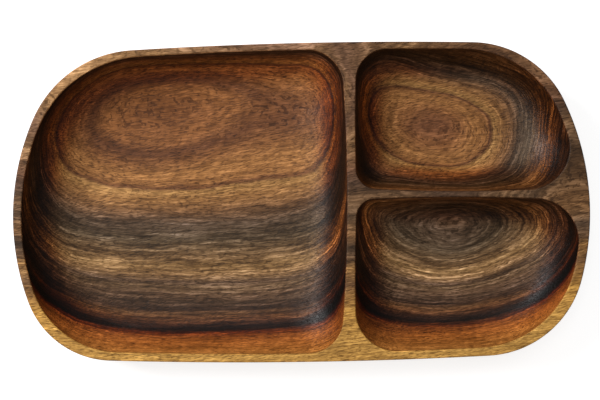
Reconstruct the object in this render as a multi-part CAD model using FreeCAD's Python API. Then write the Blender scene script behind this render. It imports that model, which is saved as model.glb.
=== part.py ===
"""Chip and dip server: a tray carved from one block of rain-tree wood, with a large basin for chips
at its left end and two small basins for dips at its right end. Millimetres, +Z up, +X towards the
dip basins, +Y towards the back, origin under the middle of the tray, on the surface it stands on."""

import FreeCAD, Part
import math
import os
from collections import namedtuple

# The block
LENGTH = 457.0
WIDTH = 254.0
HEIGHT = 48.0
FLOOR = 11.0                  # wood left under the lowest point of every basin

# The rim seen from above: four bowed sides joined by round corners, anticlockwise from the right end.
# A side's crown, where it stands out most, lies off the middle of the side.
RIGHT_BOW, RIGHT_CROWN = 208.0, -9.5
BACK_BOW, BACK_CROWN = 3550.0, 85.0
LEFT_BOW, LEFT_CROWN = 195.0, -11.5
FRONT_BOW, FRONT_CROWN = 3700.0, -50.0
RIGHT_BACK_CORNER = 82.0
BACK_LEFT_CORNER = 91.0
LEFT_FRONT_CORNER = 71.0
FRONT_RIGHT_CORNER = 80.0

# The rim's width between the outer wall and the basins, and the two dividers between the basins
RIM_RIGHT = 7.8
RIM_BACK = 5.7
RIM_LEFT = 7.0
RIM_FRONT = 6.9
CORNER_THICKENING = 8.0       # how much rounder a basin's outer corner is than the rim beside it
DIVIDER_AT = 39.4             # the long divider's thinnest place, right of the middle
DIVIDER = 6.8
DIVIDER_BOW = 1420.0
CROSS_AT = 6.4                # the cross divider, back of the middle
CROSS_CROWN = 125.0
CROSS = 5.0
CROSS_BOW = 1460.0
EDGE_ROUND = 1.2              # rounding of every edge of the rim

# The basins' corners along the dividers
CHIP_BACK_CORNER = 29.0
CHIP_FRONT_CORNER = 28.0
BACK_DIP_CORNERS = (25.5, 16.5, 33.5)     # outer divider end, middle of the tray, right end
FRONT_DIP_CORNERS = (34.0, 14.5, 32.5)    # right end, middle of the tray, outer divider end
LARGEST_CORNER = 0.9          # a corner takes up no more than this share of a short side

# How the basins are hollowed: a higher reach carries the flat floor further out to the walls, and a
# higher turn makes the walls steeper
CHIP_REACH = 8.0
DIP_REACH = 5.0
WALL_TURN = 1.6
CHIP_LOW_POINT = 8.0          # the chip basin's low point, right of the basin's middle

# The outer wall: it leans in from the rim and turns under to the flat base
BASE_INSET = 25.0
TURN_INSET = 9.0              # where the turn would meet the table if the wall ran straight on
TURN_HEIGHT = 17.0
WALL_LEAN = 4.5

# Fineness of the surfaces
SIDE_STEPS = 12
CORNER_STEPS = 10
ROUND_STEPS = 4
WALL_STEPS = 14
SMALLEST_RING = 0.06          # the innermost ring of a basin's floor, as a share of the mouth

Side = namedtuple("Side", "facing x y bow")
Vector = FreeCAD.Vector


def rim_sides():
    """The four sides of the tray's widest outline, each facing along a row axis."""
    return [
        Side(0, LENGTH / 2, RIGHT_CROWN, RIGHT_BOW),
        Side(90, BACK_CROWN, WIDTH / 2, BACK_BOW),
        Side(180, -LENGTH / 2, LEFT_CROWN, LEFT_BOW),
        Side(270, FRONT_CROWN, -WIDTH / 2, FRONT_BOW),
    ]


def rim_corners():
    return [RIGHT_BACK_CORNER, BACK_LEFT_CORNER, LEFT_FRONT_CORNER, FRONT_RIGHT_CORNER]


def normal(side):
    angle = math.radians(side.facing)
    return math.cos(angle), math.sin(angle)


def moved_in(side, inset):
    nx, ny = normal(side)
    return Side(side.facing, side.x - inset * nx, side.y - inset * ny, side.bow - inset)


def centre(side):
    nx, ny = normal(side)
    return side.x - side.bow * nx, side.y - side.bow * ny


def corner_centre(one, two, radius):
    """Centre of the corner arc that touches both sides from inside: it is bow - radius away from
    each side's own centre. Of the two such points, the one further out is the corner."""
    (x1, y1), (x2, y2) = centre(one), centre(two)
    reach1, reach2 = one.bow - radius, two.bow - radius
    apart = math.hypot(x2 - x1, y2 - y1)
    ux, uy = (x2 - x1) / apart, (y2 - y1) / apart
    along = (reach1 ** 2 - reach2 ** 2 + apart ** 2) / (2 * apart)
    across = math.sqrt(reach1 ** 2 - along ** 2)
    found = [(x1 + along * ux - s * across * uy, y1 + along * uy + s * across * ux) for s in (1, -1)]
    outward = [a + b for a, b in zip(normal(one), normal(two))]
    return max(found, key=lambda p: p[0] * outward[0] + p[1] * outward[1])


def limited(sides, corners):
    """The corner radii, where the smaller of two corners gives way if the side between them is short."""
    points = [corner_centre(sides[i], sides[(i + 1) % 4], 0.0) for i in range(4)]
    fitted = list(corners)
    for i in range(4):
        room = math.dist(points[i - 1], points[i])
        small, large = sorted((i - 1, i), key=lambda k: corners[k])
        fitted[large] = min(fitted[large], LARGEST_CORNER * room)
        fitted[small] = min(fitted[small], room - fitted[large])
    return fitted


def arc(middle, radius, start, end, steps):
    """Points from one angle anticlockwise towards another, without the last."""
    turn = (end - start + math.pi) % (2 * math.pi) - math.pi
    angles = [start + turn * step / steps for step in range(steps)]
    return [(middle[0] + radius * math.cos(a), middle[1] + radius * math.sin(a)) for a in angles]


def outline(sides, corners, inset=0.0):
    """Points round a closed outline of four bowed sides and four corner arcs, moved in by inset."""
    inner = [moved_in(side, inset) for side in sides]
    radii = [corner - inset for corner in limited(sides, corners)]
    turns = [corner_centre(inner[i], inner[(i + 1) % 4], radii[i]) for i in range(4)]

    def towards(side, turn):
        x, y = centre(side)
        return math.atan2(turn[1] - y, turn[0] - x)

    points = []
    for i, side in enumerate(inner):
        start, end = towards(side, turns[i - 1]), towards(side, turns[i])
        following = towards(inner[(i + 1) % 4], turns[i])
        points += arc(centre(side), side.bow, start, end, SIDE_STEPS)
        points += arc(turns[i], radii[i], end, following, CORNER_STEPS)
    return points


def at_height(points, z):
    return [Vector(x, y, z) for x, y in points]


def progress(points):
    """Running length along a line of points, starting at 0."""
    lengths = [0.0]
    for here, there in zip(points, points[1:]):
        lengths.append(lengths[-1] + here.distanceToPoint(there))
    return lengths


def skin(rings):
    """One smooth face through closed rings of points: a closed curve through each ring, and a curve
    through the matching control points of all the rings."""
    around = progress(rings[0] + rings[0][:1])
    down = progress([ring[0] for ring in rings])
    net = []
    for ring in rings:
        loop = Part.BSplineCurve()
        loop.interpolate(Points=ring, PeriodicFlag=True, Parameters=around)
        net.append(loop.getPoles())
    columns = []
    for column in zip(*net):
        line = Part.BSplineCurve()
        line.interpolate(Points=list(column), Parameters=down)
        columns.append(line.getPoles())
    surface = Part.BSplineSurface()
    surface.buildFromPolesMultsKnots(
        columns, loop.getMultiplicities(), line.getMultiplicities(),
        loop.getKnots(), line.getKnots(), True, False, loop.Degree, line.Degree)
    return surface.toShape()


def ring_edge(face, z):
    """The closed edge of a skin that lies level at z."""
    def off(edge):
        return max(abs(edge.BoundBox.ZMin - z), abs(edge.BoundBox.ZMax - z))
    return min(face.Edges, key=off)


def outer_wall():
    """The outside from the flat base, under the turn, up the leaning wall and over the rim's edge.
    The turn and the wall follow one cubic Bezier curve in the plane of inset and height."""
    sides, corners = rim_sides(), rim_corners()
    top = HEIGHT - EDGE_ROUND
    pull = [(BASE_INSET, 0.0), (TURN_INSET, 0.0), (WALL_LEAN, TURN_HEIGHT), (0.0, top)]
    profile = []
    for step in range(WALL_STEPS):
        t = step / WALL_STEPS
        weights = ((1 - t) ** 3, 3 * t * (1 - t) ** 2, 3 * t * t * (1 - t), t ** 3)
        profile.append(tuple(sum(w * p[k] for w, p in zip(weights, pull)) for k in (0, 1)))
    for step in range(ROUND_STEPS + 1):
        angle = math.pi / 2 * step / ROUND_STEPS
        profile.append((EDGE_ROUND * (1 - math.cos(angle)), top + EDGE_ROUND * math.sin(angle)))
    return skin([at_height(outline(sides, corners, inset), z) for inset, z in profile])


def basin(sides, corners, reach, low_point=0.0):
    """A hollow from the rim's edge down to a small level ring on its floor. Its rings are the mouth
    drawn in towards the low point, rounder as they go, and its section is a superellipse."""
    rings = []
    for step in range(ROUND_STEPS):
        angle = math.pi / 2 * step / ROUND_STEPS
        mouth = outline(sides, corners, EDGE_ROUND * (math.sin(angle) - 1))
        rings.append(at_height(mouth, HEIGHT - EDGE_ROUND * (1 - math.cos(angle))))
    mouth = outline(sides, corners)
    wide, deep = [[p[k] for p in mouth] for k in (0, 1)]
    middle = ((min(wide) + max(wide)) / 2 + low_point, (min(deep) + max(deep)) / 2)
    half = ((max(wide) - min(wide)) / 2, (max(deep) - min(deep)) / 2)
    depth = HEIGHT - EDGE_ROUND - FLOOR
    last = math.acos(SMALLEST_RING ** (reach / 2))
    for step in range(WALL_STEPS + 1):
        angle = last * step / WALL_STEPS
        share = math.cos(angle) ** (2 / reach)
        z = HEIGHT - EDGE_ROUND - depth * math.sin(angle) ** (2 / WALL_TURN)
        ring = []
        for x, y in mouth:
            dx, dy = x - middle[0], y - middle[1]
            oval = 1 / math.hypot(dx / half[0], dy / half[1])
            grow = share * (share ** 2 + (1 - share ** 2) * oval)
            ring.append((middle[0] + dx * grow, middle[1] + dy * grow))
        rings.append(at_height(ring, z))
    return skin(rings)


def basins():
    """The chip basin, the back dip basin and the front dip basin. Their outer sides follow the rim,
    and their inner sides follow the dividers."""
    right, back, left, front = [
        moved_in(side, width)
        for side, width in zip(rim_sides(), (RIM_RIGHT, RIM_BACK, RIM_LEFT, RIM_FRONT))]
    beside = [
        corner + CORNER_THICKENING - (one + two) / 2
        for corner, one, two in zip(
            rim_corners(),
            (RIM_RIGHT, RIM_BACK, RIM_LEFT, RIM_FRONT),
            (RIM_BACK, RIM_LEFT, RIM_FRONT, RIM_RIGHT))]
    chip_side = Side(0, DIVIDER_AT - DIVIDER / 2, 0.0, DIVIDER_BOW)
    back_dip_side = Side(180, DIVIDER_AT + DIVIDER / 2, WIDTH / 4, DIVIDER_BOW)
    front_dip_side = Side(180, DIVIDER_AT + DIVIDER / 2, -WIDTH / 4, DIVIDER_BOW)
    back_cross = Side(270, CROSS_CROWN, CROSS_AT + CROSS / 2, CROSS_BOW)
    front_cross = Side(90, CROSS_CROWN, CROSS_AT - CROSS / 2, CROSS_BOW)
    return [
        basin([chip_side, back, left, front],
              [CHIP_BACK_CORNER, beside[1], beside[2], CHIP_FRONT_CORNER], CHIP_REACH, CHIP_LOW_POINT),
        basin([right, back, back_dip_side, back_cross], [beside[0], *BACK_DIP_CORNERS], DIP_REACH),
        basin([right, front_cross, front_dip_side, front], [*FRONT_DIP_CORNERS, beside[3]], DIP_REACH),
    ]


def carved_tray():
    """The whole tray as one solid: outer wall, base, basins, their floors and the flat rim."""
    wall = outer_wall()
    hollows = basins()
    faces = [wall, *hollows]
    faces.append(Part.Face(Part.Wire([ring_edge(wall, 0.0)])))
    rim = [Part.Wire([ring_edge(wall, HEIGHT)])]
    for hollow in hollows:
        floor = min(vertex.Z for vertex in hollow.Vertexes)
        faces.append(Part.Face(Part.Wire([ring_edge(hollow, floor)])))
        rim.append(Part.Wire([ring_edge(hollow, HEIGHT)]))
    faces.append(Part.makeFace(rim, "Part::FaceMakerBullseye"))
    shell = Part.Compound(faces)
    shell.sewShape()
    solid = Part.Solid(shell.Shells[0])
    if solid.Volume < 0:
        solid.reverse()
    return solid


os.makedirs("parts", exist_ok=True)
tray = carved_tray()
box = tray.BoundBox
print("valid", tray.isValid(), "closed", tray.isClosed(), "faces", len(tray.Faces))
print("volume cm3 %.1f" % (tray.Volume / 1000))
print("box %.2f to %.2f, %.2f to %.2f, %.2f to %.2f" % (
    box.XMin, box.XMax, box.YMin, box.YMax, box.ZMin, box.ZMax))
tray.exportStep("parts/carved_tray.step")
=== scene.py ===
"""A chip and dip server carved from one block of rain-tree wood, set up on a pale table for its
portrait. Metres, in the CAD model's frame: +X towards the dip basins, +Y towards the back, +Z up."""

import bpy
import math
import numpy as np
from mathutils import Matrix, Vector
from mathutils.geometry import delaunay_2d_cdt


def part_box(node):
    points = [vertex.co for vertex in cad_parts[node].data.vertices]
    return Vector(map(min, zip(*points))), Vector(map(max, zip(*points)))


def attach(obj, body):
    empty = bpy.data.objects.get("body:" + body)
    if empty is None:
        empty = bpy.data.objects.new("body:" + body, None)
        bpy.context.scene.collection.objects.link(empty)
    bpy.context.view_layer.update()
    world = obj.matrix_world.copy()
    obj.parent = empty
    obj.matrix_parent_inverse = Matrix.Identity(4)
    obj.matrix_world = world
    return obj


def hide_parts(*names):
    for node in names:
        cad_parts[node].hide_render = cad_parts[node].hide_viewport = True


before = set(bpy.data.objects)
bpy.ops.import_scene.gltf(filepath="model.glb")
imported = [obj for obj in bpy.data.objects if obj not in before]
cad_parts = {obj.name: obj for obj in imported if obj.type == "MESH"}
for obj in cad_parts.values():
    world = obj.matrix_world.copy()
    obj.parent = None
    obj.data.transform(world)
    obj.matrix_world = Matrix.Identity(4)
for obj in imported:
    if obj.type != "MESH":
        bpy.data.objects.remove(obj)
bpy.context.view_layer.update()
low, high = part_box("carved_tray")
MM = 0.001

# The block, as the CAD model has it
LENGTH, WIDTH, HEIGHT = [high[k] - low[k] for k in range(3)]
FLOOR = 11.0 * MM
EDGE_ROUND = 1.2 * MM

# The rim's four sides as (facing in degrees, crown x, crown y, bow), anticlockwise from the right end.
# The bow is the radius of the side's arc, and corner k lies between side k and the next one.
RIM_SIDES = [
    (0, LENGTH / 2, -9.5 * MM, 208 * MM),
    (90, 85 * MM, WIDTH / 2, 3550 * MM),
    (180, -LENGTH / 2, -11.5 * MM, 195 * MM),
    (270, -50 * MM, -WIDTH / 2, 3700 * MM),
]
RIM_CORNERS = [82 * MM, 91 * MM, 71 * MM, 80 * MM]
RIM_WIDTHS = [7.8 * MM, 5.7 * MM, 7.0 * MM, 6.9 * MM]
CORNER_THICKENING = 8 * MM    # how much rounder a mouth's corner is than a rim of even width has it

# The long divider and the cross divider: place, least width, and the radius of their bowed sides
DIVIDER_AT, DIVIDER, DIVIDER_BOW = 39.4 * MM, 6.8 * MM, 1420 * MM
CROSS_AT, CROSS, CROSS_BOW, CROSS_CROWN = 6.4 * MM, 5 * MM, 1460 * MM, 125 * MM

# Corner radii of the basins' mouths where they don't follow the rim
CHIP_BACK_RIGHT, CHIP_FRONT_RIGHT = 29 * MM, 28 * MM
BACK_DIP_CORNERS = [25.5 * MM, 16.5 * MM, 33.5 * MM]      # back left, front left, front right
FRONT_DIP_CORNERS = [34 * MM, 14.5 * MM, 32.5 * MM]       # back right, back left, front left

# How the basins are hollowed, and how the outer wall turns under
CHIP_REACH, DIP_REACH, WALL_TURN = 8.0, 5.0, 1.6          # powers of the superellipse sections
CHIP_LOW_POINT = 8 * MM
LAST_RING = 0.04              # size of a floor's last ring, as a share of the mouth
BASE_INSET, TURN_INSET, TURN_HEIGHT, WALL_LEAN = 25 * MM, 9 * MM, 17 * MM, 4.5 * MM

# Fineness
SIDE_POINTS, CORNER_POINTS = 64, 36
ROUND_RINGS = 5
BASIN_RINGS = 56
WALL_RINGS = 26
BASE_RINGS = 8
CLEAR = 0.01 * MM             # the outside stays this far inside the CAD model's box
SUPPORT = 0.3 * MM            # a ring this far onto the flat rim keeps the edge's shading to the edge
CARVING_DEPTH = 0.35 * MM
MARK_WAVES, MARK_LENGTHS = 9, (0.022, 0.07)      # how many waves, and their shortest and longest
MARKS_GROW = 12               # rings over which the tool marks grow
SAME_POINT, NO_LENGTH = 1e-9, 1e-12      # nearer points are one, and no normal divides by nothing

# Material slots of the tray's faces
HOLLOW, OUTSIDE = 0, 1


# ---------------------------------------------------------------- outlines

def facing(side):
    """The way a side faces: the cosine and sine of its angle."""
    angle = math.radians(side[0])
    return np.array([math.cos(angle), math.sin(angle)])


def moved_in(side, inset):
    """The same side with its crown moved against its facing by inset, and its bow less by as much."""
    x, y = np.array(side[1:3]) - inset * facing(side)
    return (side[0], x, y, side[3] - inset)


def bow_centre(side):
    """Centre of a side's arc: its crown less the bow times its facing."""
    return np.array(side[1:3]) - side[3] * facing(side)


def corner_centre(one, two, radius):
    """Centre of a corner arc that touches both bowed sides from inside: bow - radius from each side's
    own centre, taking the crossing that lies further out."""
    here, there = bow_centre(one), bow_centre(two)
    reach, other = one[3] - radius, two[3] - radius
    apart = np.hypot(*(there - here))
    along = (there - here) / apart
    foot = (reach ** 2 - other ** 2 + apart ** 2) / (2 * apart)
    rise = math.sqrt(reach ** 2 - foot ** 2)
    across = np.array([-along[1], along[0]])
    found = [here + foot * along + sign * rise * across for sign in (1, -1)]
    return max(found, key=lambda p: p @ (facing(one) + facing(two)))


def outline(sides, corners, inset=0.0):
    """Points round four bowed sides and four corner arcs, all moved in by inset. Each arc is its centre
    plus its radius times (cos, sin) of evenly spaced angles."""
    inner = [moved_in(side, inset) for side in sides]
    radii = [corner - inset for corner in corners]
    turns = [corner_centre(inner[i], inner[(i + 1) % 4], radii[i]) for i in range(4)]

    def arc(middle, radius, start, end, count):
        """Points of an arc from start to just before end, anticlockwise."""
        turn = (end - start) % (2 * math.pi)
        angle = start + turn * np.arange(count) / count
        return middle + radius * np.stack([np.cos(angle), np.sin(angle)], axis=1)

    def towards(side, turn):
        """Angle from a side's own centre to a corner arc's centre."""
        return math.atan2(*(turn - bow_centre(side))[::-1])

    parts = []
    for i, side in enumerate(inner):
        start, end = towards(side, turns[i - 1]), towards(side, turns[i])
        following = towards(inner[(i + 1) % 4], turns[i])
        parts.append(arc(bow_centre(side), side[3], start, end, SIDE_POINTS))
        parts.append(arc(turns[i], radii[i], end, following, CORNER_POINTS))
    return np.concatenate(parts)


def ring_at(flat, z):
    """Flat points lifted to one height."""
    return np.column_stack([flat, np.full(len(flat), z)])


# ---------------------------------------------------------------- skins

def outer_wall():
    """Rings of the outside, from the rim's flat top down to the base: a quarter round over the edge,
    then a cubic Bezier curve from the wall to the base in the plane of inset and height."""
    top = HEIGHT - EDGE_ROUND
    over = np.linspace(np.pi / 2, 0, ROUND_RINGS, endpoint=False)
    inset = EDGE_ROUND * (1 - np.cos(over))
    z = top + EDGE_ROUND * np.sin(over)
    t = np.linspace(0, 1, WALL_RINGS)[:, None]
    pull = np.array([(0, top), (WALL_LEAN, TURN_HEIGHT), (TURN_INSET, 0), (BASE_INSET, 0)])
    weights = np.hstack([(1 - t) ** 3, 3 * t * (1 - t) ** 2, 3 * t * t * (1 - t), t ** 3])
    curve = weights @ pull
    flat_ring = [(EDGE_ROUND + SUPPORT, HEIGHT)]
    profile = np.concatenate([flat_ring, np.column_stack([inset, z]), curve])
    return np.array([ring_at(outline(RIM_SIDES, RIM_CORNERS, i + CLEAR), z) for i, z in profile])


def basin(sides, corners, reach, low_point=0.0):
    """Rings of one hollow, from the rim's flat top down to its floor: a quarter round over the edge,
    then rings that shrink towards the low point and turn into ovals. A ring's size is the cosine of an
    angle to the power 2 / reach, and its depth is the sine to the power 2 / WALL_TURN, which is a
    superellipse section. Its size squared is the mouth's share in its form, and the oval has the rest."""
    rings = [ring_at(outline(sides, corners, -EDGE_ROUND - SUPPORT), HEIGHT)]
    for angle in np.linspace(0, np.pi / 2, ROUND_RINGS, endpoint=False):
        flat = outline(sides, corners, EDGE_ROUND * (math.sin(angle) - 1))
        rings.append(ring_at(flat, HEIGHT - EDGE_ROUND * (1 - math.cos(angle))))
    mouth = outline(sides, corners)
    least, most = mouth.min(axis=0), mouth.max(axis=0)
    middle = (least + most) / 2 + np.array([low_point, 0])
    half = (most - least) / 2
    away = mouth - middle
    oval = 1 / np.hypot(*(away / half).T)
    angle = np.linspace(0, math.acos(LAST_RING ** (reach / 2)), BASIN_RINGS)
    share = np.cos(angle) ** (2 / reach)
    z = HEIGHT - EDGE_ROUND - (HEIGHT - EDGE_ROUND - FLOOR) * np.sin(angle) ** (2 / WALL_TURN)
    for s, level in zip(share, z):
        grow = s * (s ** 2 + (1 - s ** 2) * oval)
        rings.append(ring_at(middle + away * grow[:, None], level))
    return np.array(rings)


def basins():
    """The chip basin, the back dip basin and the front dip basin. Their outer sides are the rim's own
    sides moved in by its widths."""
    right, back, left, front = [moved_in(s, w) for s, w in zip(RIM_SIDES, RIM_WIDTHS)]
    following = RIM_WIDTHS[1:] + RIM_WIDTHS[:1]
    beside = [c + CORNER_THICKENING - (a + b) / 2
              for c, a, b in zip(RIM_CORNERS, RIM_WIDTHS, following)]
    chip_side = (0, DIVIDER_AT - DIVIDER / 2, 0.0, DIVIDER_BOW)
    dip_side = DIVIDER_AT + DIVIDER / 2
    back_dip_front = (270, CROSS_CROWN, CROSS_AT + CROSS / 2, CROSS_BOW)
    front_dip_back = (90, CROSS_CROWN, CROSS_AT - CROSS / 2, CROSS_BOW)
    return [
        basin([chip_side, back, left, front],
              [CHIP_BACK_RIGHT, beside[1], beside[2], CHIP_FRONT_RIGHT], CHIP_REACH, CHIP_LOW_POINT),
        basin([right, back, (180, dip_side, WIDTH / 4, DIVIDER_BOW), back_dip_front],
              [beside[0], *BACK_DIP_CORNERS], DIP_REACH),
        basin([right, front_dip_back, (180, dip_side, -WIDTH / 4, DIVIDER_BOW), front],
              [*FRONT_DIP_CORNERS, beside[3]], DIP_REACH),
    ]


def tool_marks(points, depth, seed):
    """The slow waviness that carving and sanding leave: the sum of a few sine waves whose directions
    and lengths are drawn at random, as a depth at every point."""
    draw = np.random.default_rng(seed)
    total = np.zeros(len(points))
    for _ in range(MARK_WAVES):
        heading = draw.normal(size=3)
        heading /= np.linalg.norm(heading)
        length = draw.uniform(*MARK_LENGTHS)
        total += np.sin(2 * np.pi / length * points @ heading + draw.uniform(0, 2 * np.pi))
    return depth * total / MARK_WAVES


def inside(points, loop):
    """Which points lie inside a closed loop: those from which a ray along +X crosses it an odd number
    of times."""
    x, y = points[:, :1], points[:, 1:]
    after = np.roll(loop, -1, axis=0)
    spans = (loop[:, 1] > y) != (after[:, 1] > y)
    rise = np.where(after[:, 1] == loop[:, 1], 1.0, after[:, 1] - loop[:, 1])
    crossing = loop[:, 0] + (y - loop[:, 1]) * (after[:, 0] - loop[:, 0]) / rise
    return (spans & (x < crossing)).sum(axis=1) % 2 == 1


def rim_faces(points, loops):
    """Triangles of the flat rim, between the outer loop and the mouths: a Delaunay triangulation that
    keeps every loop's edges, less the triangles whose middles lie in a mouth or outside the rim."""
    numbers = np.concatenate(loops)
    flat = points[numbers][:, :2]
    edges, first = [], 0
    for loop in loops:
        here = first + np.arange(len(loop))
        edges.append(np.stack([here, np.roll(here, -1)], axis=1))
        first += len(loop)
    edges = np.concatenate(edges).tolist()
    _, _, found, sources, _, _ = delaunay_2d_cdt([Vector(p) for p in flat], edges, [], 0, SAME_POINT)
    corner = np.array([source[0] for source in sources])
    triangles = corner[np.array(found)]
    middles = flat[triangles].mean(axis=1)
    outer, *mouths = [points[loop][:, :2] for loop in loops]
    kept = inside(middles, outer)
    for mouth in mouths:
        kept &= ~inside(middles, mouth)
    triangles = triangles[kept]
    a, b, c = (flat[triangles[:, k]] for k in range(3))
    turn = (b - a)[:, 0] * (c - a)[:, 1] - (b - a)[:, 1] * (c - a)[:, 0]
    triangles[turn < 0] = triangles[turn < 0][:, ::-1]
    return numbers[triangles]


def waved(skin, depth, seed):
    """A skin moved along its own normals, the cross product of the steps along and down its grid, by
    its tool marks. The rings of the edge round stay put, and the marks grow over those that follow."""
    points = skin.reshape(-1, 3)
    along = np.roll(skin, -1, axis=1) - np.roll(skin, 1, axis=1)
    down = np.gradient(skin, axis=0)
    normal = np.cross(along, down)
    normal /= np.linalg.norm(normal, axis=-1, keepdims=True) + NO_LENGTH
    ring = np.arange(len(skin)) - ROUND_RINGS - 1
    grown = np.clip(ring / MARKS_GROW, 0, 1)[:, None]
    marks = tool_marks(points, depth, seed).reshape(skin.shape[:2]) * grown
    return skin + normal * marks[..., None]


def carved_tray():
    """One closed mesh of the whole tray: the outer wall and base, the three hollows, and the flat rim
    between their first rings. A pole closes the base and each floor."""
    wall, hollows = outer_wall(), basins()
    shares = np.linspace(1, 0, BASE_RINGS, endpoint=False)[1:]
    base = np.array([wall[-1] * np.array([share, share, 1]) for share in shares])
    skins = [(np.concatenate([wall, base]), True)]
    skins += [(waved(hollow, CARVING_DEPTH, seed), False) for seed, hollow in enumerate(hollows)]
    blocks, faces, loops, zones = [], [], [], []
    start = 0
    for skin, outside in skins:
        rows, columns = skin.shape[:2]
        points = skin.reshape(-1, 3)
        blocks += [points, points[-columns:].mean(axis=0, keepdims=True)]
        loops.append(start + np.arange(columns))
        r, c = np.meshgrid(np.arange(rows - 1), np.arange(columns), indexing="ij")
        after = (c + 1) % columns
        quads = np.stack([r * columns + c, (r + 1) * columns + c,
                          (r + 1) * columns + after, r * columns + after], axis=-1).reshape(-1, 4)
        ring, pole = (rows - 1) * columns + np.arange(columns), rows * columns
        fan = np.stack([ring, np.full(columns, pole), np.roll(ring, -1)], axis=-1)
        for part in (quads, fan):
            faces += (start + (part if outside else part[:, ::-1])).tolist()
        row = np.append(r.ravel(), [rows - 1] * columns)
        zones += np.where(row < (rows if outside else ROUND_RINGS), OUTSIDE, HOLLOW).tolist()
        start += rows * columns + 1
    points = np.concatenate(blocks)
    rim = rim_faces(points, loops)
    faces += rim.tolist()
    zones += [OUTSIDE] * len(rim)
    mesh = bpy.data.meshes.new("carved tray")
    mesh.from_pydata(points.tolist(), [], faces)
    mesh.polygons.foreach_set("use_smooth", [True] * len(faces))
    mesh.polygons.foreach_set("material_index", zones)
    mesh.update()
    tray = bpy.data.objects.new("tray", mesh)
    bpy.context.scene.collection.objects.link(tray)
    return tray


# ---------------------------------------------------------------- nodes

SEED_STEP = 7.31              # how far apart in the noise two seeds lie


def linear(red, green, blue):
    """A colour on the usual 0 to 255 scale as the shader's linear values: divided by 12.92 near black,
    and ((value + 0.055) / 1.055) to the power 2.4 above."""
    scaled = [v / 255 for v in (red, green, blue)]
    lit = [v / 12.92 if v <= 0.04045 else ((v + 0.055) / 1.055) ** 2.4 for v in scaled]
    return (*lit, 1.0)


def place(tree, kind, feeds=(), **settings):
    """One shader node. Settings are its own properties, and feeds are pairs of a socket and what goes
    into it: a value, or another node's output."""
    made = tree.nodes.new("ShaderNode" + kind)
    for name, value in settings.items():
        setattr(made, name, value)
    for socket, value in feeds:
        if isinstance(value, bpy.types.NodeSocket):
            tree.links.new(value, made.inputs[socket])
        else:
            made.inputs[socket].default_value = value
    return made


def maths(tree, operation, *values):
    """One sum on plain values."""
    return place(tree, "Math", enumerate(values), operation=operation).outputs[0]


def vectors(tree, operation, *values):
    """One sum on vectors."""
    made = place(tree, "VectorMath", enumerate(values), operation=operation)
    return made.outputs["Value" if operation in ("LENGTH", "DOT_PRODUCT") else "Vector"]


def in_millimetres(tree, position):
    """A position in metres, divided by the length of a millimetre."""
    return vectors(tree, "MULTIPLY", position, [1 / MM] * 3)


def together(tree, x=0.0, y=0.0, z=0.0):
    """Three plain values as one vector."""
    return place(tree, "CombineXYZ", enumerate((x, y, z))).outputs[0]


def polynomial(tree, variable, factors):
    """factors[0] + factors[1] * variable + factors[2] * variable squared, and so on."""
    total = factors[-1]
    for factor in factors[-2::-1]:
        total = maths(tree, "MULTIPLY_ADD", variable, total, factor)
    return total


def grain(tree, position, size, seed, detail=2.0, roughness=0.5, turn=0.0, colour=False):
    """Noise from 0 to 1, whose blobs are as long along X, Y and Z as size says, in millimetres. turn
    leans the blobs in the XY plane, in degrees, and seed picks another part of the noise."""
    if turn:
        position = place(tree, "VectorRotate", [("Vector", position), ("Angle", math.radians(turn))],
                         rotation_type="Z_AXIS").outputs[0]
    shrunk = vectors(tree, "MULTIPLY_ADD", position, [1 / s for s in size], [seed * SEED_STEP] * 3)
    noise = place(tree, "TexNoise", [("Vector", shrunk), ("Scale", 1.0), ("Detail", detail),
                                     ("Roughness", roughness)])
    return noise.outputs["Color" if colour else "Fac"]


def between(tree, value, start, end, low=0.0, high=1.0):
    """low where value is at start or before, high at end or past it, and a smooth slope between."""
    return place(tree, "MapRange", [("Value", value), ("From Min", start), ("From Max", end),
                                    ("To Min", low), ("To Max", high)],
                 interpolation_type="SMOOTHSTEP").outputs[0]


def new_group(name, sockets_out):
    """An empty shader node group that takes a position, with the sockets it puts out."""
    tree = bpy.data.node_groups.new(name, "ShaderNodeTree")
    tree.interface.new_socket("Position", in_out="INPUT", socket_type="NodeSocketVector")
    for title, kind in sockets_out:
        tree.interface.new_socket(title, in_out="OUTPUT", socket_type="NodeSocket" + kind)
    return tree, tree.nodes.new("NodeGroupInput").outputs[0], tree.nodes.new("NodeGroupOutput").inputs


# ---------------------------------------------------------------- the wood

# The pith that the growth rings go round runs along the tray, behind and below it. Its place in Y and
# Z, in millimetres, bends along the length: factors of the share of half the length from the middle.
PITH_Y = [108.0, 6.6, 18.0, 8.7]
PITH_Z = [-178.5, 1.0, 5.3, 5.5]
RING_FLATTENING = 0.92

# Swirls, where the rings bulge round an old branch: middle, spread and how far the rings are moved.
# A spread of 999 runs right through the block.
SWIRLS = [
    ((-112, 62, 11), (81, 52, 999), -8.5),
    ((16, 72, 11), (28, 42, 999), -6),
    ((114, 58, 11), (36, 28, 999), -7),
    ((127, -36, 11), (46, 46, 999), -12.5),
    ((219, 55, 11), (50, 48, 45), 38),
    ((170, 120, 11), (70, 44, 40), 34),
    ((98, 112, 11), (56, 26, 40), 12),
    ((-150, -118, 11), (145, 36, 999), -5),
    ((60, -112, 11), (50, 34, 999), 2.5),
]

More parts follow.
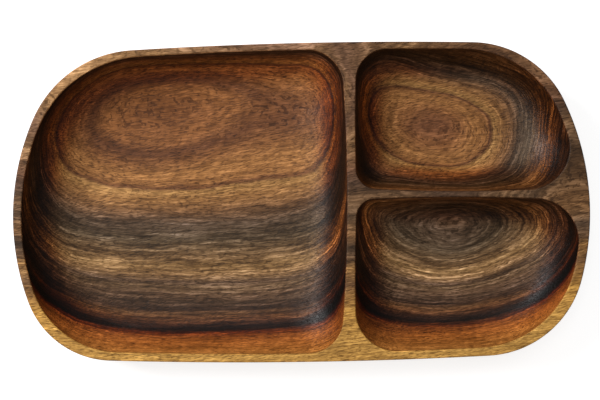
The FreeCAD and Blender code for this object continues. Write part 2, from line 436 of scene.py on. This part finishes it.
# Colours of the growth rings where the wood is hollowed and oiled, by millimetres from the pith
OILED_RINGS = [
    (183.0, (104, 62, 30)),
    (188.0, (114, 70, 34)),
    (191.5, (88, 52, 28)),
    (194.5, (112, 70, 36)),
    (199.0, (130, 86, 44)),
    (203.2, (120, 78, 40)),
    (204.6, (80, 46, 24)),
    (206.2, (132, 94, 50)),
    (210.0, (126, 86, 46)),
    (214.0, (106, 72, 42)),
    (217.0, (88, 62, 40)),
    (219.5, (70, 52, 36)),
    (226.0, (70, 54, 36)),
    (230.0, (86, 64, 40)),
    (234.0, (106, 78, 48)),
    (238.0, (126, 94, 56)),
    (242.0, (120, 88, 54)),
    (245.5, (80, 58, 40)),
    (248.0, (92, 68, 44)),
    (252.0, (84, 60, 40)),
    (256.0, (66, 46, 30)),
    (259.5, (56, 36, 22)),
    (262.0, (76, 48, 24)),
    (264.5, (86, 52, 26)),
    (267.0, (64, 36, 18)),
    (269.5, (34, 18, 10)),
    (272.5, (28, 14, 6)),
    (275.0, (88, 44, 16)),
    (279.0, (116, 66, 26)),
    (284.0, (142, 86, 38)),
    (302.0, (160, 108, 52)),
]

# The same where it is only sanded: on the rim, its rounded edges and the outside
SANDED_RINGS = [
    (188.0, (142, 100, 58)),
    (205.0, (144, 104, 62)),
    (216.0, (120, 82, 52)),
    (219.5, (86, 58, 38)),
    (224.5, (140, 102, 62)),
    (227.5, (90, 62, 42)),
    (233.0, (112, 80, 48)),
    (239.0, (96, 64, 42)),
    (243.0, (74, 52, 36)),
    (247.0, (98, 70, 44)),
    (252.0, (78, 56, 36)),
    (257.0, (112, 78, 46)),
    (262.0, (66, 48, 32)),
    (267.0, (88, 62, 38)),
    (270.0, (134, 96, 52)),
    (276.5, (98, 68, 40)),
    (280.0, (120, 84, 44)),
    (285.0, (138, 98, 46)),
    (288.0, (160, 116, 52)),
    (305.0, (166, 122, 58)),
]
RING_FIRST, RING_LAST = 180.0, 310.0

# Waviness of the rings as (size of the waves along X, Y and Z), seed and push, and one slow bow
WAVINESS = [
    ((90, 60, 60), 1, 4),
    ((40, 14, 14), 2, 2.2),
    ((13, 3, 3), 3, 1.5),
]
BOW, BOW_SLOPE = 1.8, [1 / 95, 1 / 70, 0]

# Stripes in the rings as (size across the rings, along X and along Y), seed and depth. They are weaker
# near the heart and in the sapwood: from, to, and the strength at each.
STRIPES = [
    ((8.0, 150, 90), 33, 1.2),
    ((2.2, 75, 60), 5, 2.2),
    ((0.8, 30, 28), 6, 3.2),
]
STRIPE_ROUGHNESS = 0.55
CALM_HEART, CALM_SAPWOOD = (208, 220, 0.4, 1.0), (276, 280, 1.0, 0.45)

# Patches that don't follow the rings, as (size along X, Y and Z), seed, depth and turn in degrees
PATCHES = [
    ((90, 55, 55), 23, 0.8, 0),
    ((12, 0.9, 0.9), 8, 1.6, -9),
    ((4.4, 11, 11), 9, 0.8, 24),
]

# Dark flecks lie along the rings, or rise obliquely where the grain is curly. Each is a size and a
# seed, and the edges say over which noise values a fleck or a pore comes in.
CURLY, WITH_RINGS = ((60, 34, 34), 10), ((0.5, 4.5, 4.5), 11)
RISING, RISING_TURN, PORES = ((5.5, 0.9, 0.9), 12), -17, ((9, 0.45, 0.45), 13)
CURLY_EDGE, FLECK_EDGE, PORE_EDGE = (0.42, 0.58), (0.52, 0.62), (0.58, 0.7)

# The finish
SHADE_POWERS = (0.9, 1.0, 1.2)       # blue loses most in a dark stripe, and red least
FLECK_REST = 3                       # the wood between the flecks gains a third of what they lose
END_GRAIN, END_GRAIN_SOAK = (0.2, 0.9), 1.9      # by how far a face looks along X
WALL_SHADE_SLOPE = (0.99, 0.8)                              # painted shade on walls, darker the less a face looks up
HEARTWOOD_SOAK_AND_SHADE = (273, 279, 1.0, 0.35)        # the sapwood soaks up less, and gets less of the painted wall shade
SPECULAR, FLECK_ROUGHNESS, PORE_DEPTH = 0.22, 0.12, 0.2 * MM
WALL_BOUNCE_TINT = [0.1, -0.75, -1.1]      # painted reddening of shaded walls, for light the wooden walls bounce onto each other: how red, green and blue change


def growth_rings():
    """A group that gives the distance from the pith in millimetres, at a position in metres: the
    length of (Y - pith Y) times the flattening and (Z - pith Z), plus a slow sine and each swirl's
    bell curve, at a place that noise has moved."""
    tree, start, end = new_group("growth rings", [("Distance", "Float")])
    spot = in_millimetres(tree, start)
    bent = spot
    for size, seed, push in WAVINESS:
        wave = vectors(tree, "SUBTRACT", grain(tree, spot, size, seed, colour=True), [0.5] * 3)
        bent = vectors(tree, "MULTIPLY_ADD", wave, [0, push, push], bent)
    x, y, z = place(tree, "SeparateXYZ", [(0, bent)]).outputs
    along = maths(tree, "DIVIDE", x, LENGTH / 2 / MM)
    across = maths(tree, "SUBTRACT", y, polynomial(tree, along, PITH_Y))
    across = maths(tree, "MULTIPLY", across, RING_FLATTENING)
    up = maths(tree, "SUBTRACT", z, polynomial(tree, along, PITH_Z))
    distance = vectors(tree, "LENGTH", together(tree, across, up))
    bow = maths(tree, "SINE", vectors(tree, "DOT_PRODUCT", bent, BOW_SLOPE))
    distance = maths(tree, "MULTIPLY_ADD", bow, BOW, distance)
    for middle, spread, push in SWIRLS:
        off = vectors(tree, "SUBTRACT", bent, middle)
        off = vectors(tree, "MULTIPLY", off, [1 / s for s in spread])
        squared = vectors(tree, "DOT_PRODUCT", off, off)
        bell = maths(tree, "EXPONENT", maths(tree, "MULTIPLY", squared, -1.0))
        distance = maths(tree, "MULTIPLY_ADD", bell, push, distance)
    tree.links.new(distance, end["Distance"])
    return tree


def figure(rings):
    """A group that gives what the wood's figure does to its ring colours: the distance that picks the
    ring colour, a shade to multiply it by, a mask of dark flecks and pores, and a height for bump. The
    shade is e to the power of the sum of stripes and patches."""
    tree, start, end = new_group("wood figure", [
        ("Distance", "Float"), ("Shade", "Float"), ("Flecks", "Float"), ("Height", "Float")])
    counted = place(tree, "Group", node_tree=rings)
    tree.links.new(start, counted.inputs[0])
    distance, spot = counted.outputs["Distance"], in_millimetres(tree, start)
    x, y, _ = place(tree, "SeparateXYZ", [(0, spot)]).outputs
    layers = together(tree, distance, x, y)

    darkening = 0.0
    for size, seed, depth in STRIPES:
        noise = grain(tree, layers, size, seed, roughness=STRIPE_ROUGHNESS)
        stripe = maths(tree, "SUBTRACT", noise, 0.5)
        darkening = maths(tree, "MULTIPLY_ADD", stripe, depth, darkening)
    for calm in (CALM_HEART, CALM_SAPWOOD):
        darkening = maths(tree, "MULTIPLY", darkening, between(tree, distance, *calm))
    for size, seed, depth, turn in PATCHES:
        patch = maths(tree, "SUBTRACT", grain(tree, spot, size, seed, turn=turn), 0.5)
        darkening = maths(tree, "MULTIPLY_ADD", patch, depth, darkening)

    curly = between(tree, grain(tree, spot, *CURLY), *CURLY_EDGE)
    with_rings = between(tree, grain(tree, layers, *WITH_RINGS), *FLECK_EDGE)
    rising = between(tree, grain(tree, spot, *RISING, turn=RISING_TURN), *FLECK_EDGE)
    flecks = place(tree, "Mix", [("Factor", curly), ("A", with_rings), ("B", rising)]).outputs[0]
    pores = between(tree, grain(tree, spot, *PORES, detail=1.0), *PORE_EDGE)
    both = maths(tree, "MAXIMUM", flecks, pores)

    tree.links.new(distance, end["Distance"])
    tree.links.new(maths(tree, "EXPONENT", darkening), end["Shade"])
    tree.links.new(both, end["Flecks"])
    tree.links.new(maths(tree, "SUBTRACT", 1.0, both), end["Height"])
    return tree


def wood_finish(name, wood, colours, rough, bump, stripes, flecks, soak_and_wall_shade):
    """A finish on the wood: ring colours by distance, times the figure's shade to the power stripes,
    and darker by flecks in the flecks and pores. End grain, which soaks up more oil, is darkened by a
    gamma, and the same gamma paints shade on steep walls, which also get a painted reddening for the
    light that the wooden walls bounce onto each other. The last argument sets how strong both are."""
    material = bpy.data.materials.new(name)
    material.use_nodes = True
    tree = material.node_tree
    tree.nodes.clear()
    made = place(tree, "Group", node_tree=wood)
    tree.links.new(place(tree, "TexCoord").outputs["Object"], made.inputs[0])
    share = place(tree, "MapRange", [("Value", made.outputs["Distance"]), ("From Min", RING_FIRST),
                                     ("From Max", RING_LAST)]).outputs[0]
    ramp = place(tree, "ValToRGB", [(0, share)])
    stops = ramp.color_ramp.elements
    while len(stops) < len(colours):
        stops.new(1.0)
    for stop, (where, colour) in zip(stops, colours):
        stop.position = (where - RING_FIRST) / (RING_LAST - RING_FIRST)
        stop.color = linear(*colour)
    shade = maths(tree, "POWER", made.outputs["Shade"], stripes)
    flecked = polynomial(tree, made.outputs["Flecks"], [1.0 + flecks / FLECK_REST, -flecks])
    shade = maths(tree, "MULTIPLY", shade, flecked)
    shades = together(tree, *[maths(tree, "POWER", shade, power) for power in SHADE_POWERS])
    lit = vectors(tree, "MULTIPLY", ramp.outputs[0], shades)
    along, _, up = place(tree, "SeparateXYZ", [(0, place(tree, "TexCoord").outputs["Normal"])]).outputs
    sideways = maths(tree, "ABSOLUTE", along)
    end_grain = between(tree, sideways, *END_GRAIN, 0.0, END_GRAIN_SOAK * soak_and_wall_shade)
    # painted shade on steep walls: darker the less a face looks up
    painted_wall_shade = between(tree, up, *WALL_SHADE_SLOPE, 0.0, soak_and_wall_shade)
    heartwood = between(tree, made.outputs["Distance"], *HEARTWOOD_SOAK_AND_SHADE)
    # the end grain's oil darkening and the painted wall shade, applied together as one gamma
    oil_and_wall_shade = maths(tree, "MULTIPLY_ADD", maths(tree, "ADD", end_grain, painted_wall_shade), heartwood, 1.0)
    lit = place(tree, "Gamma", [("Color", lit), ("Gamma", oil_and_wall_shade)]).outputs[0]
    # painted reddening on the shaded steep walls, standing in for light that the wooden walls bounce onto
    # each other
    wall_shade_mask = maths(tree, "MULTIPLY", painted_wall_shade, heartwood)
    bounce_reddening = vectors(tree, "MULTIPLY_ADD", wall_shade_mask, WALL_BOUNCE_TINT, [1.0] * 3)
    lit = vectors(tree, "MULTIPLY", lit, bounce_reddening)
    shine = place(tree, "BsdfPrincipled", [
        ("Base Color", lit),
        ("Roughness", polynomial(tree, made.outputs["Flecks"], [rough, FLECK_ROUGHNESS])),
        ("Specular IOR Level", SPECULAR)])
    raised = place(tree, "Bump", [
        ("Strength", bump), ("Distance", PORE_DEPTH), ("Height", made.outputs["Height"])])
    tree.links.new(raised.outputs[0], shine.inputs["Normal"])
    place(tree, "OutputMaterial", [("Surface", shine.outputs[0])])
    return material


# ---------------------------------------------------------------- the picture

# The table, a little light from overhead that gloss doesn't show, the main light from the left and
# back, and the camera
TABLE_REACH, TABLE_GREY, TABLE_ROUGHNESS, TABLE_GLOW = 3.0, 0.5, 0.9, 0.75
TABLE_DROP = 0.1 * MM         # clear of the tray's base, or the two faces would flicker
AMBIENT = 0.29
KEY_AT, KEY_SIZE, KEY_WATTS = (0.15, 0.35, 1.8), 0.9, 8.0
LEFT_AT, LEFT_SIZE, LEFT_WATTS = (-1.0, 0.5, 1.05), 0.7, 25.5
CAMERA_RISE, SENSOR, FAR = 1.3, 36.0, 20
CAMERA_X, CAMERA_Y = -1.2 * MM, 1.6 * MM
FRAME_WIDTH = 474.6 * MM      # what the camera takes in across the rim


def table():
    """A plain pale sheet under the tray, which glows a little so that shadows on it stay faint."""
    mesh = bpy.data.meshes.new("pale table")
    signs = [(-1, -1), (1, -1), (1, 1), (-1, 1)]
    corners = [(x * TABLE_REACH, y * TABLE_REACH, -TABLE_DROP) for x, y in signs]
    mesh.from_pydata(corners, [], [(0, 1, 2, 3)])
    sheet = bpy.data.objects.new("pale_table", mesh)
    bpy.context.scene.collection.objects.link(sheet)
    material = bpy.data.materials.new("pale table")
    material.use_nodes = True
    shader = material.node_tree.nodes["Principled BSDF"]
    shader.inputs["Base Color"].default_value = (TABLE_GREY, TABLE_GREY, TABLE_GREY, 1)
    shader.inputs["Roughness"].default_value = TABLE_ROUGHNESS
    shader.inputs["Emission Color"].default_value = (1, 1, 1, 1)
    shader.inputs["Emission Strength"].default_value = TABLE_GLOW
    mesh.materials.append(material)


def softbox(name, place_at, aim, size, watts, reflected=True):
    """A square light that looks at aim. Gloss shows it only if it is reflected."""
    light = bpy.data.lights.new(name, "AREA")
    light.shape = "SQUARE"
    light.size = size
    light.energy = watts
    lamp = bpy.data.objects.new(name, light)
    lamp.location = place_at
    lamp.rotation_euler = (Vector(aim) - Vector(place_at)).to_track_quat("-Z", "Y").to_euler()
    lamp.visible_glossy = reflected
    bpy.context.scene.collection.objects.link(lamp)


def studio():
    """White surroundings, a weak softbox overhead, the main softbox at the left and back, which the
    finish reflects, and a camera straight above."""
    scene = bpy.context.scene
    scene.view_settings.view_transform = "Standard"
    world = bpy.data.worlds.new("white studio")
    world.use_nodes = True
    world.node_tree.nodes["Background"].inputs["Color"].default_value = (1, 1, 1, 1)
    world.node_tree.nodes["Background"].inputs["Strength"].default_value = AMBIENT
    scene.world = world
    middle = (0, 0, HEIGHT)
    softbox("overhead softbox", KEY_AT, middle, KEY_SIZE, KEY_WATTS, reflected=False)
    softbox("left softbox", LEFT_AT, middle, LEFT_SIZE, LEFT_WATTS)
    lens = bpy.data.cameras.new("camera")
    lens.sensor_width = SENSOR
    lens.lens = SENSOR * CAMERA_RISE / FRAME_WIDTH
    lens.clip_end = FAR
    camera = bpy.data.objects.new("camera", lens)
    camera.location = (CAMERA_X, CAMERA_Y, HEIGHT + CAMERA_RISE)
    scene.collection.objects.link(camera)
    scene.camera = camera


wood = figure(growth_rings())
tray = carved_tray()
# The last setting of each finish sets both the end grain's oil darkening and the painted shade and
# reddening on steep walls.
tray.data.materials.append(wood_finish(
    "oiled hollow", wood, OILED_RINGS, rough=0.4, bump=0.45, stripes=1.2, flecks=0.75, soak_and_wall_shade=0.26))
tray.data.materials.append(wood_finish(
    "sanded rim", wood, SANDED_RINGS, rough=0.55, bump=0.5, stripes=1.0, flecks=0.75, soak_and_wall_shade=0.1))
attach(tray, "root")
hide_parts("carved_tray")
table()
studio()
